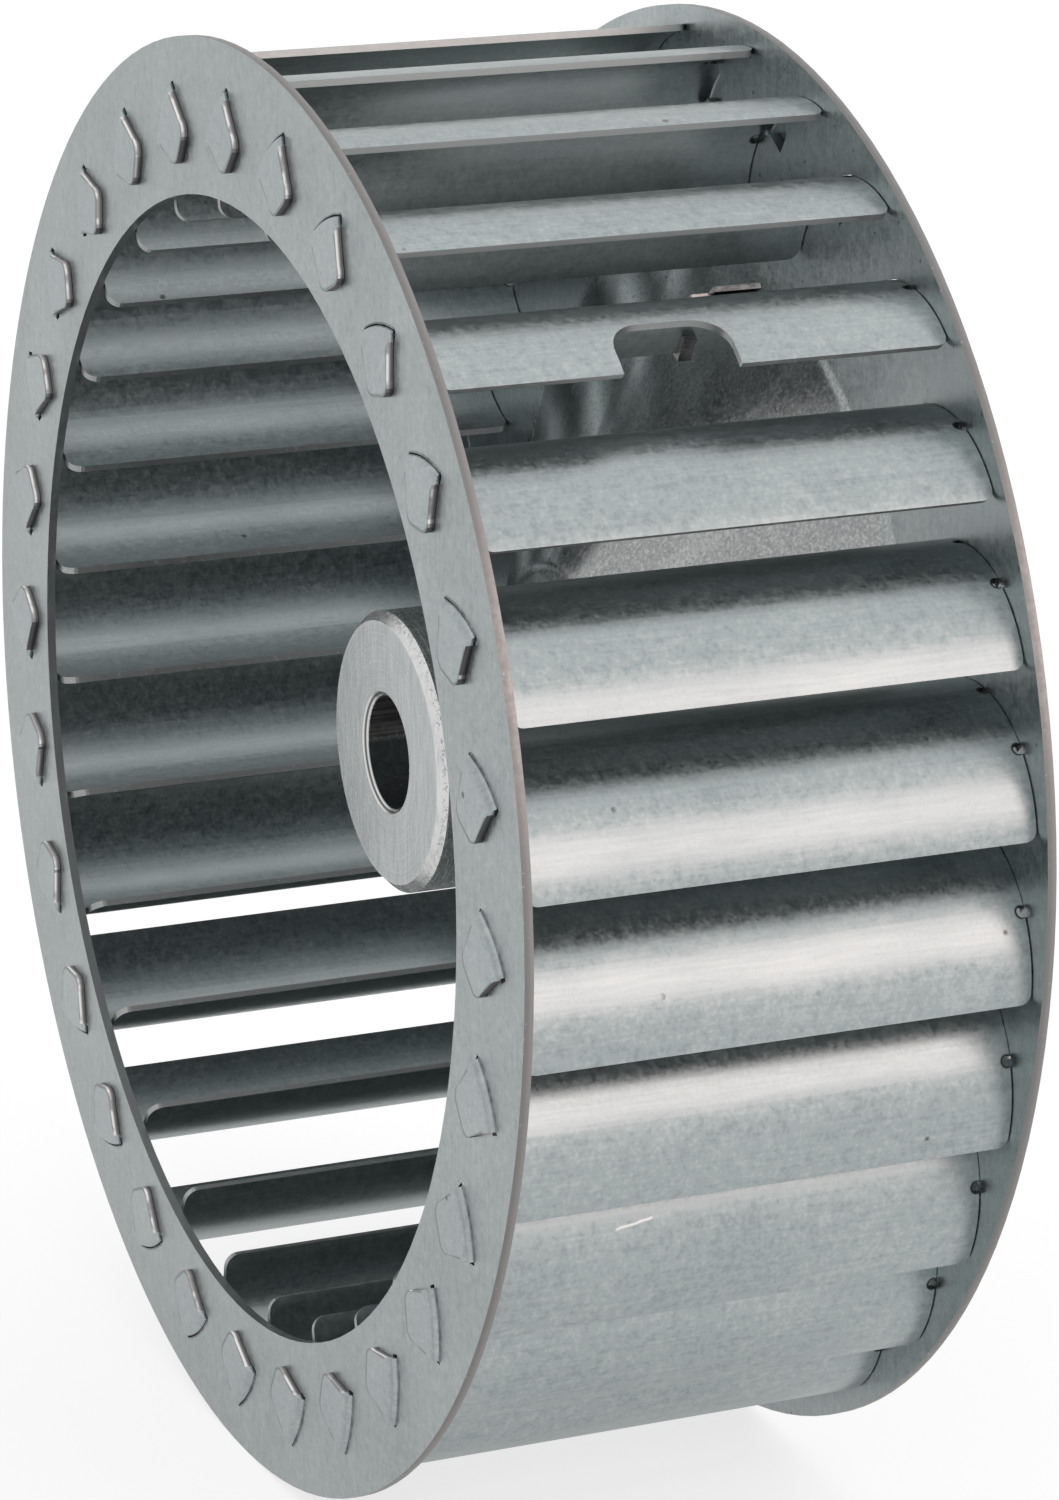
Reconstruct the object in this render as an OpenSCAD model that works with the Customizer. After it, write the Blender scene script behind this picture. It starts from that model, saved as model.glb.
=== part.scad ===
// Squirrel cage blower wheel, single inlet, forward-curved blades.
// A flat front ring and a coned back disc are tied together by sheet blades. Each blade has a tab at either
// end, which passes through a slot and is folded flat on the outer face. A turned hub is clinched to the cone.
// The drawing frame has the axis along Z with the inlet up. The last step turns the inlet to face -Y.

/* [Discs] */
// Outside diameter of the front ring and the back disc
wheel_d = 160; // [150:1:180]
// Distance between the outer faces of the front ring and the back disc
wheel_w = 58.4; // [50:0.2:80]
// Diameter of the inlet eye in the front ring
eye_d = 126; // [104:1:128]
// Sheet thickness of the front ring
ring_t = 1; // [0.8:0.1:2]
// Sheet thickness of the back disc
disc_t = 1; // [0.8:0.1:2]

/* [Cone] */
// Diameter at which the flat rim of the back disc turns up into the cone
cone_base_d = 110; // [96:1:112]
// Diameter of the flat top of the cone that carries the hub
cone_top_d = 36; // [34:1:50]
// Rise of the cone towards the inlet
cone_h = 18.4; // [12:0.1:24]
// Bend radius at the foot of the cone, at mid-sheet
cone_foot_r = 4; // [2:0.5:6]
// Bend radius at the shoulder of the cone, at mid-sheet
cone_shoulder_r = 3; // [2:0.5:5]

/* [Blades] */
// Number of blades
blade_count = 28; // [22:1:30]
// Sheet thickness of a blade
blade_t = 0.75; // [0.5:0.05:1]
// Inside radius of the blade's curve
blade_r = 13.7; // [12.5:0.1:14.5]
// Angle that the blade's curve turns through
blade_sweep = 109; // [100:1:112]
// Distance of the blade tips inside the rim of the discs
blade_inset = 2.05; // [1:0.05:4]
// Angle of the tip of blade 1, counter-clockwise from +X as seen at the inlet
first_blade_angle = 94.9; // [80:0.1:100]
// Rounding of the blade corners at the tip edge
tip_corner_r = 1.2; // [0.6:0.1:2]
// Rounding of the blade corners at the inner edge
inner_corner_r = 1.6; // [1:0.1:3]

/* [Tabs] */
// Place of the tab's outer end along the curve, in degrees from the tip
tab_start = 40.5; // [36:0.5:44]
// Place of the tab's inner end along the curve, in degrees from the tip
tab_end = 71.5; // [68:0.5:74]
// Length of the folded flap, from the fold to its free edge
flap_len = 6.3; // [4:0.1:6.8]
// Width of the flap at its free edge
flap_end_w = 5.5; // [4:0.1:6.2]
// Corner rounding at the free edge of the flap
flap_corner_r = 1.5; // [0.4:0.1:1.9]
// Inside radius of the fold
fold_r = 0.3; // [0.2:0.05:0.4]
// Diameter of the relief holes beside each tab
relief_d = 1.2; // [1:0.1:1.8]
// Clearance between the blade and the outer wall and ends of its slot
slot_gap = 0.12; // [0.1:0.02:0.3]
// Depth of the punched pocket on the hollow side of the slot
pocket_depth = 4.2; // [3:0.1:4.6]

/* [Key notch] */
// Number of the blade with the notch that lets a key reach the set screw
notch_blade = 5; // [1:1:20]
// Width of the notch
notch_w = 13; // [9:0.5:15]
// Depth of the notch along the blade's curve
notch_depth = 6.6; // [5:0.1:7.5]
// Rounding of the notch's corners
notch_corner_r = 4; // [2:0.5:4]

/* [Hub] */
// Outside diameter of the hub collar
hub_d = 31.5; // [28:0.5:33]
// Length of the hub collar, from the cone to its front face
hub_len = 21; // [16:0.5:24]
// Diameter of the shaft bore
bore_d = 12.7; // [8:0.1:14]
// Chamfer on the collar's front edge
hub_chamfer = 1; // [0.4:0.1:1.5]
// Countersink at the mouths of the bore
bore_chamfer = 0.55; // [0.3:0.05:1.2]
// Diameter of the spigot that passes through the cone
spigot_d = 22; // [19:0.5:24]
// Overhang of the clinched lip behind the cone
lip_overhang = 1.6; // [1:0.1:2]
// Thickness of the clinched lip
lip_t = 1.4; // [1:0.1:2]

/* [Set screw] */
// Distance of the set screw and the key notch behind the hub's front face
screw_place = 9.5; // [6:0.5:12]
// Outside diameter of the set screw
screw_d = 6; // [4:0.5:6]
// Length of the set screw
screw_len = 7.6; // [6:0.1:8]
// Size of its hexagon socket across the flats
screw_socket = 3; // [2:0.5:3]
// Depth of the socket
screw_socket_depth = 3.2; // [2:0.1:4]
// Angle of the set screw ahead of the tip of the notched blade
screw_lead = 3; // [2:0.1:4]

/* [Balance clip] */
// Sheet thickness of the clip
clip_t = 0.6; // [0.4:0.05:0.8]
// Length of the clip along the wheel's axis
clip_w = 7.6; // [6:0.1:12]
// Distance of the clip's front end behind the front ring's outer face
clip_place = 36.2; // [30:0.1:38]
// Turn of the leg along the blade's back before it springs clear, in degrees
clip_grip = 26; // [20:1:34]
// Length of the straight end that springs clear of the blade
clip_lift_len = 3.8; // [3:0.1:6]
// Width of the strip beside it that lies on the blade
clip_strip_w = 2.2; // [1.5:0.1:4]
// Width of the tongue that hooks round the blade's inner edge
clip_tongue_w = 1.5; // [1:0.1:3]
// Length of that tongue on the hollow side
clip_tongue_len = 2.6; // [2:0.1:4]

/* [Hidden] */
$fn = 96;
cut = 0.6;                  // how far a cutting tool runs past what it cuts
seat_gap = 0.05;            // gap under a folded flap
shoulder_gap = 0.12;        // seam between a blade's shoulder and the back disc
ring_shoulder_gap = 0.3;    // seam between a blade's shoulder and the front ring
fit_gap = 0.05;             // radial clearance of the spigot and of the set screw
arc_steps = 6;              // straight pieces in the arc of a corner
cone_steps = 12;            // straight pieces in the arc of a bend of the cone

front_z = wheel_w / 2;
back_z = -wheel_w / 2;
disc_front_z = back_z + disc_t;
shoulder_front_z = front_z - ring_t - ring_shoulder_gap;
shoulder_back_z = disc_front_z + shoulder_gap;
curve_y = wheel_d / 2 - blade_inset - blade_t - blade_r;   // centre of a blade's curve from the wheel's axis
mid_r = blade_r + blade_t / 2;
tab_turn = tab_end - tab_start;
pitch = 360 / blade_count;

cone_top_z = disc_front_z + cone_h;          // front face of the cone's flat top
// The flank is the common tangent of the shoulder bend and the foot bend, which fixes its slope.
bend_sum = cone_shoulder_r + cone_foot_r;
bend_offset = [(cone_base_d - cone_top_d) / 2, cone_h - bend_sum];
flank = atan2(bend_offset[1], bend_offset[0]) + asin(bend_sum / norm(bend_offset));
hub_front_z = cone_top_z + hub_len;
lip_z = cone_top_z - disc_t;                 // rear face of the cone's flat top
hub_back_z = lip_z - lip_t;
notch_z = hub_front_z - screw_place;
screw_angle = blade_angle(notch_blade) + screw_lead;
screw_tip_r = bore_d / 2 + 0.25;

steel = [0.68, 0.70, 0.71];
blade_steel = [0.74, 0.75, 0.75];
hub_steel = [0.76, 0.77, 0.76];
screw_steel = [0.22, 0.22, 0.23];
clip_steel = [0.58, 0.57, 0.57];

function blade_angle(i) = first_blade_angle - (i - 1) * pitch;
function blade_name(i) = str("blade_", i < 10 ? "0" : "", i);
function degrees_of(len, r) = len / r * 180 / PI;
function polar(r, a) = [r * cos(a), r * sin(a)];
// points of an arc about c, from angle a0 to a1
function arc(c, r, a0, a1, n = arc_steps) = [for (k = [0:n]) c + polar(r, a0 + (a1 - a0) * k / n)];

// turns the drawing frame so that the inlet faces -Y
module stand_up() { rotate([90, 0, 0]) children(); }

// places a child, drawn about the curve's centre with the tip up, at blade i
module at_blade(i) { rotate([0, 0, blade_angle(i) - 90]) translate([0, curve_y, 0]) children(); }

// turns a child by g degrees along the blade's curve, from the tip towards the inner edge
module along(g) { rotate([0, 0, g]) children(); }

// section of a sheet bent round the origin, between two radii and two angles
module bend(r0, r1, a0, a1) {
    intersection() {
        difference() {
            circle(r1);
            if (r0 > 0) circle(r0);
        }
        polygon(concat([[0, 0]], arc([0, 0], 2 * r1, a0, a1)));
    }
}

// bend about the centre of a blade's curve, between two places counted from the tip
module curve_band(r0, r1, g0, g1) { bend(r0, r1, g0 + 90, g1 + 90); }

// slot of one blade with its punched pocket, in plan
module slot_plan() {
    end_gap = degrees_of(3 * slot_gap, mid_r);
    curve_band(blade_r - fold_r, blade_r + blade_t + slot_gap, tab_start - end_gap, tab_end + end_gap);
    wall = blade_r - fold_r / 2;
    // each corner is given as a share of the pocket's depth and a share of the tab's turn
    corners = [[0.75, 0.12], [1, 0.56], [0.27, 0.72], [0.2, 0.95]];
    polygon(concat([for (c = corners) polar(blade_r - c[0] * pocket_depth, 90 + tab_start + c[1] * tab_turn)],
                   arc([0, 0], wall, 90 + tab_start + 0.95 * tab_turn, 90 + tab_start + 0.05 * tab_turn)));
}

module all_slots() {
    for (i = [1:blade_count]) rotate(blade_angle(i) - 90) translate([0, curve_y]) slot_plan();
}

module front_ring() {
    color(steel) stand_up() translate([0, 0, front_z - ring_t]) linear_extrude(ring_t) difference() {
        circle(wheel_d / 2, $fn = 180);
        circle(eye_d / 2, $fn = 180);
        all_slots();
    }
}

// sheet line of the cone through its two bends, moved by d towards the inlet from mid-sheet
function cone_line(d) = concat(
    arc([cone_top_d / 2, cone_top_z - disc_t / 2 - cone_shoulder_r], cone_shoulder_r + d, 90, 90 - flank, cone_steps),
    arc([cone_base_d / 2, disc_front_z - disc_t / 2 + cone_foot_r], cone_foot_r - d, 270 - flank, 270, cone_steps));
function turned_back(list) = [for (k = [len(list) - 1:-1:0]) list[k]];

module back_disc() {
    hole_r = spigot_d / 2 + fit_gap;
    rim_r = wheel_d / 2;
    section = concat([[hole_r, cone_top_z]], cone_line(disc_t / 2), [[rim_r, disc_front_z], [rim_r, back_z]],
                     turned_back(cone_line(-disc_t / 2)), [[hole_r, lip_z]]);
    color(steel) stand_up() difference() {
        rotate_extrude($fn = 180) polygon(section);
        translate([0, 0, back_z - cut]) linear_extrude(disc_t + 2 * cut) all_slots();
    }
}

// fold and neck of a tab, turned about the curve's axis. z is counted from the outer face of its disc.
module tab_fold(root) {
    along(tab_start + 90) rotate_extrude(angle = tab_turn) {
        translate([blade_r, root]) square([blade_t, seat_gap - fold_r - root]);
        translate([blade_r - fold_r, seat_gap - fold_r]) bend(fold_r, fold_r + blade_t, 0, 90);
        translate([blade_r - 3 * fold_r, seat_gap]) square([2 * fold_r, blade_t]);
    }
}

// flat part of a tab on the face of its disc
module tab_flap() {
    base_y = mid_r * cos(tab_turn / 2);
    base_x = blade_r * sin(tab_turn / 2);
    end_y = base_y - flap_len;
    end_x = flap_end_w / 2;
    r = flap_corner_r;
    along(tab_start + tab_turn / 2) translate([0, 0, seat_gap]) linear_extrude(blade_t) intersection() {
        circle(blade_r - 2 * fold_r);
        polygon(concat(arc([end_x - r, end_y + r], r, -90, 10), [[base_x, base_y], [base_x, blade_r]],
                       [[-base_x, blade_r], [-base_x, base_y]], arc([r - end_x, end_y + r], r, 170, 270)));
    }
}

// both tabs of a blade, one on each disc
module tabs() {
    translate([0, 0, front_z]) {
        tab_fold(shoulder_front_z - front_z - cut);
        tab_flap();
    }
    translate([0, 0, back_z]) mirror([0, 0, 1]) {
        tab_fold(back_z - shoulder_back_z - cut);
        tab_flap();
    }
}

// tool that rounds a blade corner. It stands on the curve at the edge, with the blade at its -X and +Z side.
module corner_tool(r) {
    curve = arc([-r, -r], r, 0, 90);
    last = len(curve) - 1;
    ends = [2 * curve[0] - curve[1], 2 * curve[last] - curve[last - 1]];   // they run past the blade's edges
    rotate([-90, 0, 0]) translate([0, 0, blade_r - 2]) linear_extrude(blade_t + 4)
        polygon(concat([ends[0]], curve, [ends[1], [cut, cut]]));
}

// relief holes in the corners between a tab and the blade's shoulders
module relief_holes() {
    reach = degrees_of(relief_d * 0.4, mid_r);
    for (g = [tab_start - reach, tab_end + reach])
        for (z = [shoulder_front_z - relief_d * 0.2, shoulder_back_z + relief_d * 0.2])
            along(g) translate([0, blade_r - 1, z]) rotate([-90, 0, 0]) cylinder(d = relief_d, h = blade_t + 2, $fn = 24);
}

// notch with round corners, cut into the tip edge
module key_notch() {
    r = notch_corner_r;
    half = notch_w / 2;
    along(degrees_of(notch_depth, mid_r)) translate([0, mid_r / 2, notch_z]) rotate([-90, 0, 0])
        linear_extrude(mid_r) {
            for (side = [-1, 1]) translate([r, side * (half - r)]) circle(r);
            translate([r, -half]) square([notch_depth, notch_w]);
            translate([0, r - half]) square([notch_depth, notch_w - 2 * r]);
        }
}

module blade(i) {
    color(blade_steel) stand_up() at_blade(i) difference() {
        union() {
            along(90) rotate_extrude(angle = blade_sweep)
                translate([blade_r, shoulder_back_z]) square([blade_t, shoulder_front_z - shoulder_back_z]);
            tabs();
        }
        relief_holes();
        // tip corners, then inner corners
        translate([0, 0, shoulder_front_z]) mirror([0, 0, 1]) corner_tool(tip_corner_r);
        translate([0, 0, shoulder_back_z]) corner_tool(tip_corner_r);
        along(blade_sweep) mirror([1, 0, 0]) {
            translate([0, 0, shoulder_front_z]) mirror([0, 0, 1]) corner_tool(inner_corner_r);
            translate([0, 0, shoulder_back_z]) corner_tool(inner_corner_r);
        }
        if (i == notch_blade) key_notch();
    }
}

module hub() {
    bore_r = bore_d / 2;
    collar_r = hub_d / 2;
    spigot_r = spigot_d / 2;
    lip_r = spigot_r + lip_overhang;
    edge = lip_t / 3;
    profile = [[bore_r, hub_back_z + bore_chamfer], [bore_r, hub_front_z - bore_chamfer],
               [bore_r + bore_chamfer, hub_front_z], [collar_r - hub_chamfer, hub_front_z],
               [collar_r, hub_front_z - hub_chamfer], [collar_r, cone_top_z], [spigot_r, cone_top_z],
               [spigot_r, lip_z], [lip_r, lip_z], [lip_r, hub_back_z + edge], [lip_r - edge, hub_back_z],
               [bore_r + bore_chamfer, hub_back_z]];
    color(hub_steel) stand_up() difference() {
        rotate_extrude() polygon(profile);
        translate([0, 0, notch_z]) rotate([0, 90, screw_angle]) cylinder(r = screw_d / 2 + fit_gap, h = hub_d);
    }
}

module set_screw() {
    lead_in = screw_d / 10;
    color(screw_steel) stand_up() translate([0, 0, notch_z]) rotate([0, 90, screw_angle])
        translate([0, 0, screw_tip_r]) difference() {
            rotate_extrude($fn = 48) polygon([[0, 0], [screw_d / 2 - 2 * lead_in, 0], [screw_d / 2, 2 * lead_in],
                [screw_d / 2, screw_len - lead_in], [screw_d / 2 - lead_in, screw_len], [0, screw_len]]);
            translate([0, 0, screw_len - screw_socket_depth])
                cylinder(d = screw_socket / cos(30), h = screw_socket_depth + cut, $fn = 6);
        }
}

// The clip hooks round the inner edge of the notched blade. One leg follows the blade's back, and the straight
// end of half of it springs clear. A narrow tongue lies on the hollow side.
module balance_clip() {
    back_r = blade_r + blade_t + fit_gap;            // inner face of the leg on the blade's back
    outer_r = back_r + clip_t;
    hollow_r = blade_r - fit_gap;                    // outer face of the tongue
    inner_r = hollow_r - clip_t;
    edge_a = 90 + blade_sweep + degrees_of(fit_gap, mid_r);
    hook_a = edge_a + degrees_of(clip_t, mid_r);     // outside of the hook
    narrow_a = 90 + blade_sweep - 6;                 // place where the leg narrows to the tongue's width
    lift_a = 90 + blade_sweep - clip_grip;
    strip_a = lift_a - degrees_of(clip_lift_len - 1, mid_r);
    tongue_a = 90 + blade_sweep - degrees_of(clip_tongue_len, mid_r);
    o = [0, 0];
    leg = concat(arc(o, back_r, lift_a, narrow_a), arc(o, outer_r, narrow_a, lift_a));
    strip = concat(arc(o, back_r, strip_a, lift_a), arc(o, outer_r, lift_a, strip_a));
    lift = polar(clip_lift_len, lift_a - 90);
    straight = [polar(back_r, lift_a), polar(outer_r, lift_a), polar(outer_r, lift_a) + lift, polar(back_r, lift_a) + lift];
    tongue = concat(arc(o, outer_r, narrow_a, hook_a), arc(o, inner_r, hook_a, tongue_a),
                    arc(o, hollow_r, tongue_a, edge_a), arc(o, back_r, edge_a, narrow_a));
    leg_w = clip_w - clip_strip_w;
    back_end = front_z - clip_place - clip_w;
    color(clip_steel) stand_up() at_blade(notch_blade) translate([0, 0, back_end]) {
        linear_extrude(clip_w) polygon(leg);
        translate([0, 0, leg_w]) linear_extrude(clip_strip_w) polygon(strip);
        linear_extrude(leg_w - 2 * fit_gap) polygon(straight);
        translate([0, 0, leg_w - clip_tongue_w / 4]) linear_extrude(clip_tongue_w) polygon(tongue);
    }
}

front_ring();
back_disc();
hub();
set_screw();
balance_clip();
for (i = [1:blade_count]) blade(i);
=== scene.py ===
"""Squirrel cage blower wheel: finishes, small formed details, floor, light and camera.

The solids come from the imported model, in metres: the wheel's axis along Y with the inlet at -Y, and Z up.
"""

import logging
import math
from dataclasses import dataclass
from enum import Enum, IntEnum
from typing import Any

import bpy
from mathutils import Matrix, Vector

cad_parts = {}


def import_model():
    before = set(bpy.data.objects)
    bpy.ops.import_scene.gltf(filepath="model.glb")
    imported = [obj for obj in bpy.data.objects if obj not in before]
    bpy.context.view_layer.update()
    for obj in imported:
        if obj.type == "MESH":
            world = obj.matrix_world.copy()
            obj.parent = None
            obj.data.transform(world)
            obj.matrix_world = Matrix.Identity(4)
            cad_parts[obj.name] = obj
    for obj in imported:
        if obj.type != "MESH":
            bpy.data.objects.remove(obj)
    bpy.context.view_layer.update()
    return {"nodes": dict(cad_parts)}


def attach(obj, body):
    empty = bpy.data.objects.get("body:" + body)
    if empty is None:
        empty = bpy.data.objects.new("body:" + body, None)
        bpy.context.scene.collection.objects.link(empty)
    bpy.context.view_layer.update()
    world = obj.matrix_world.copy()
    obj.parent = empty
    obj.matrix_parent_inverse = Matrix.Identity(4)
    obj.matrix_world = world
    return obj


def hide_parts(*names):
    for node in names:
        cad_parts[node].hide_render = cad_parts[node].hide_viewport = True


log = logging.getLogger("wheel")

MM = 0.001
NOISE_MIDDLE = 0.5
Colour = tuple[float, float, float]
Direction = tuple[float, float, float]
Span = tuple[float, float]      # where a smooth border starts and ends, or the least and greatest value
Shares = tuple[float, ...]      # how much each of several noises counts


@dataclass(frozen=True)
class WheelSizes:
    """Driving sizes of the wheel in metres and radians, as on the solids."""

    rim_r: float = 80 * MM
    eye_r: float = 63 * MM
    cone_base_r: float = 55 * MM
    half_w: float = 29.2 * MM
    blades: int = 28
    first_blade: float = math.radians(94.9)
    curve_r: float = 13.7 * MM
    sheet: float = 0.75 * MM
    flat_sheet: float = 1.0 * MM
    inset: float = 2.05 * MM
    tab_start: float = math.radians(40.5)
    tab_end: float = math.radians(71.5)
    slot_gap: float = 0.12 * MM
    flap_end: float = 7.26 * MM
    flap_end_w: float = 5.5 * MM
    flap_taper: float = 0.1445
    flap_corner: float = 1.5 * MM
    bore_r: float = 6.35 * MM
    hub_r: float = 15.75 * MM
    hub_front: float = -11.2 * MM
    screw_r: float = 3 * MM
    screw_y: float = -1.7 * MM
    screw_turn: float = math.radians(46.47)
    screw_tip: float = 6.6 * MM
    screw_len: float = 7.6 * MM

    @property
    def pitch(self) -> float:
        """Angle between neighbouring blades."""
        return 2 * math.pi / self.blades

    @property
    def curve_rho(self) -> float:
        """Distance of the centre of a blade's curve from the wheel's axis."""
        return self.rim_r - self.inset - self.sheet - self.curve_r


SIZES = WheelSizes()


class Socket:
    """A node's value that takes Python's operators. Each operator adds a Math node."""

    def __init__(self, tree: "Tree", socket: bpy.types.NodeSocket) -> None:
        """Wraps an output socket of a node in the tree."""
        self.tree = tree
        self.socket = socket

    def math(self, operation: str, *others: "Socket | float") -> "Socket":
        """Adds a Math node on this value and others."""
        return self.tree.node("ShaderNodeMath", {"operation": operation}, dict(enumerate((self, *others))))

    def hypot(self, other: "Socket") -> "Socket":
        """Length of the vector that this value and another make."""
        return (self * self + other * other).math("SQRT")

    def __add__(self, other: "Socket | float") -> "Socket":
        """Sum of two values."""
        return self.math("ADD", other)

    def __sub__(self, other: "Socket | float") -> "Socket":
        """This value less another."""
        return self.math("SUBTRACT", other)

    def __rsub__(self, other: float) -> "Socket":
        """A number less this value."""
        return self * -1.0 + other

    def __mul__(self, other: "Socket | float") -> "Socket":
        """Product of two values."""
        return self.math("MULTIPLY", other)

    __radd__ = __add__
    __rmul__ = __mul__

    def __truediv__(self, other: "Socket | float") -> "Socket":
        """This value divided by another."""
        return self.math("DIVIDE", other)

    def __abs__(self) -> "Socket":
        """Size of the value without its sign."""
        return self.math("ABSOLUTE")

    def __mod__(self, span: float) -> "Socket":
        """The value brought into 0 to span."""
        return self.math("FLOORED_MODULO", span)

    def __or__(self, other: "Socket | float") -> "Socket":
        """The larger of two values, which joins two masks."""
        return self.math("MAXIMUM", other)

    def __and__(self, other: "Socket | float") -> "Socket":
        """The smaller of two values, where two masks meet."""
        return self.math("MINIMUM", other)


class Tree:
    """A node tree with one method for every kind of node."""

    def __init__(self, tree: bpy.types.NodeTree) -> None:
        """Takes an empty tree."""
        self.tree = tree

    def node(self, kind: str, settings: dict[str, Any] | None = None,
             inputs: dict[str | int, Any] | None = None, out: str | int = 0) -> Socket:
        """Adds a node and returns one of its outputs.

        Args:
            kind: the node's type, such as ShaderNodeMath.
            settings: its properties, which are set before the inputs.
            inputs: what feeds each input, by the input's name or number.
            out: name or number of the output that is returned.

        Returns:
            The output, wrapped.
        """
        made = self.tree.nodes.new(kind)
        for key, value in (settings or {}).items():
            setattr(made, key, value)
        for key, value in (inputs or {}).items():
            self.feed(made.inputs[key], value)
        return Socket(self, made.outputs[out] if len(made.outputs) else None)

    def feed(self, entry: bpy.types.NodeSocket, value: Any) -> None:
        """Links or sets one input of a node.

        Args:
            entry: the input.
            value: a Socket, a list of Sockets for an input that takes several, or a plain value. A colour
                has no alpha.
        """
        for source in value if isinstance(value, list) else [value]:
            if isinstance(source, Socket):
                self.tree.links.new(source.socket, entry)
            elif entry.type == "RGBA":
                entry.default_value = (*source, 1.0)
            else:
                entry.default_value = source

    def split(self, vector: Socket) -> tuple[Socket, Socket, Socket]:
        """X, Y and Z of a vector."""
        x = self.node("ShaderNodeSeparateXYZ", inputs={0: vector})
        return tuple(Socket(self, output) for output in x.socket.node.outputs)

    def join(self, x: Socket | float, y: Socket | float, z: Socket | float) -> Socket:
        """A vector of three values."""
        return self.node("ShaderNodeCombineXYZ", inputs={0: x, 1: y, 2: z})

    def step(self, value: Socket, low: float, high: float, start: float = 0.0, end: float = 1.0) -> Socket:
        """Takes low..high smoothly to start..end, and no further at either side."""
        return self.node("ShaderNodeMapRange", {"interpolation_type": "SMOOTHSTEP"}, {
            "Value": value, "From Min": low, "From Max": high, "To Min": start, "To Max": end})

    def below(self, value: Socket, low: float, high: float) -> Socket:
        """A mask that is 1 up to low and 0 from high on."""
        return self.step(value, low, high, 1.0, 0.0)

    def blend(self, values: tuple[Socket, ...], shares: Shares) -> Socket:
        """Sum of values, each times its share."""
        first, *others = [value * share for value, share in zip(values, shares, strict=True)]
        return sum(others, first)


class MixSocket(IntEnum):
    """Numbers of the colour sockets of a Mix node."""

    FACTOR = 0
    FIRST = 6
    SECOND = 7
    RESULT = 2


class Finish(Tree):
    """The node tree of a material. The subclasses are the wheel's finishes."""

    noise_roughness: float = 0.55
    scratch_stretch: Direction = (1, 0.4, 0.03)
    scratch_width: float = 0.006
    scratch_patches: float = 60
    scratch_border: float = 0.05
    wall_facing: Span = (0.35, 0.6)

    def __init__(self, name: str) -> None:
        """Starts an empty material.

        Args:
            name: the material's name.
        """
        self.material = bpy.data.materials.new(name)
        self.material.use_nodes = True
        super().__init__(self.material.node_tree)
        self.tree.nodes.clear()
        self.where = self.node("ShaderNodeTexCoord", out="Object")
        self.x, self.y, self.z = self.split(self.where)
        self.facing = self.split(self.node("ShaderNodeTexCoord", out="Normal"))

    def noise(self, scale: float, stretch: Direction = (1, 1, 1), detail: float = 3.0,
              vector: Socket | None = None) -> Socket:
        """Noise from 0 to 1.

        Args:
            scale: features to a metre.
            stretch: factors on the coordinates, small along the grain.
            detail: octaves.
            vector: coordinates, or None for the object's own.

        Returns:
            The noise value.
        """
        placed = self.node("ShaderNodeVectorMath", {"operation": "MULTIPLY"},
                           {0: vector or self.where, 1: stretch})
        return self.node("ShaderNodeTexNoise", inputs={
            "Vector": placed, "Scale": scale, "Detail": detail, "Roughness": self.noise_roughness})

    def specks(self, scale: float, inner: float, outer: float) -> Socket:
        """Round specks, one in every cell of a broken-up pattern.

        Args:
            scale: cells to a metre.
            inner: distance from a cell's middle up to which a speck is full, as a share of the cell.
            outer: distance at which it ends.

        Returns:
            A mask that is 1 in a speck.
        """
        away = self.node("ShaderNodeTexVoronoi", inputs={"Vector": self.where, "Scale": scale})
        return self.below(away, inner, outer)

    def mix(self, factor: Socket | float, a: Socket | Colour, b: Socket | Colour) -> Socket:
        """Mixes two colours.

        Args:
            factor: 0 for the first colour, 1 for the second.
            a: the first colour.
            b: the second colour.

        Returns:
            The mixed colour.
        """
        return self.node("ShaderNodeMix", {"data_type": "RGBA"}, {
            MixSocket.FACTOR: factor, MixSocket.FIRST: a, MixSocket.SECOND: b}, MixSocket.RESULT)

    def bump(self, height: Socket, depth: float, under: Socket | None = None) -> Socket:
        """A normal from a height.

        Args:
            height: from 0 to 1.
            depth: what a height of 1 is worth, in metres.
            under: another normal that it lies on, or None for the surface's own.

        Returns:
            The normal.
        """
        inputs: dict[str | int, Any] = {"Strength": 1.0, "Distance": depth, "Height": height}
        if under is not None:
            inputs["Normal"] = under
        return self.node("ShaderNodeBump", inputs=inputs)

    def scratches(self, turn: float, scale: float, share: float) -> Socket:
        """Sparse fine scratches that run about one way.

        Args:
            turn: angle of the scratches in the XZ plane, from +Z.
            scale: lines to a metre.
            share: how much of the surface is free of them, from 0 to 1.

        Returns:
            A mask that is 1 in a scratch.
        """
        turned = self.node("ShaderNodeVectorRotate", {"rotation_type": "Y_AXIS"},
                           {"Vector": self.where, "Angle": turn})
        line = self.noise(scale, self.scratch_stretch, detail=1.0, vector=turned)
        where = self.step(self.noise(self.scratch_patches), share, share + self.scratch_border)
        return self.below(abs(line - NOISE_MIDDLE), 0.0, self.scratch_width) & where

    def wall(self) -> Socket:
        """Mask of the faces whose normals lie across the wheel's axis."""
        return self.below(abs(self.facing[1]), *self.wall_facing)

    def metal(self, colour: Socket, rough: Socket, normal: Socket) -> None:
        """Ends the tree in a metal surface.

        Args:
            colour: its base colour.
            rough: its roughness.
            normal: its normal.
        """
        shader = self.node("ShaderNodeBsdfPrincipled", inputs={
            "Metallic": 1.0, "Roughness": rough, "Base Color": colour, "Normal": normal})
        self.node("ShaderNodeOutputMaterial", inputs={0: shader})


class Grain(Enum):
    """Factors on X, Y and Z that draw the grain of a sheet out along its rolling direction."""

    UPRIGHT = (1.0, 1.0, 0.06)
    AXIAL = (1.0, 0.05, 1.0)


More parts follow.
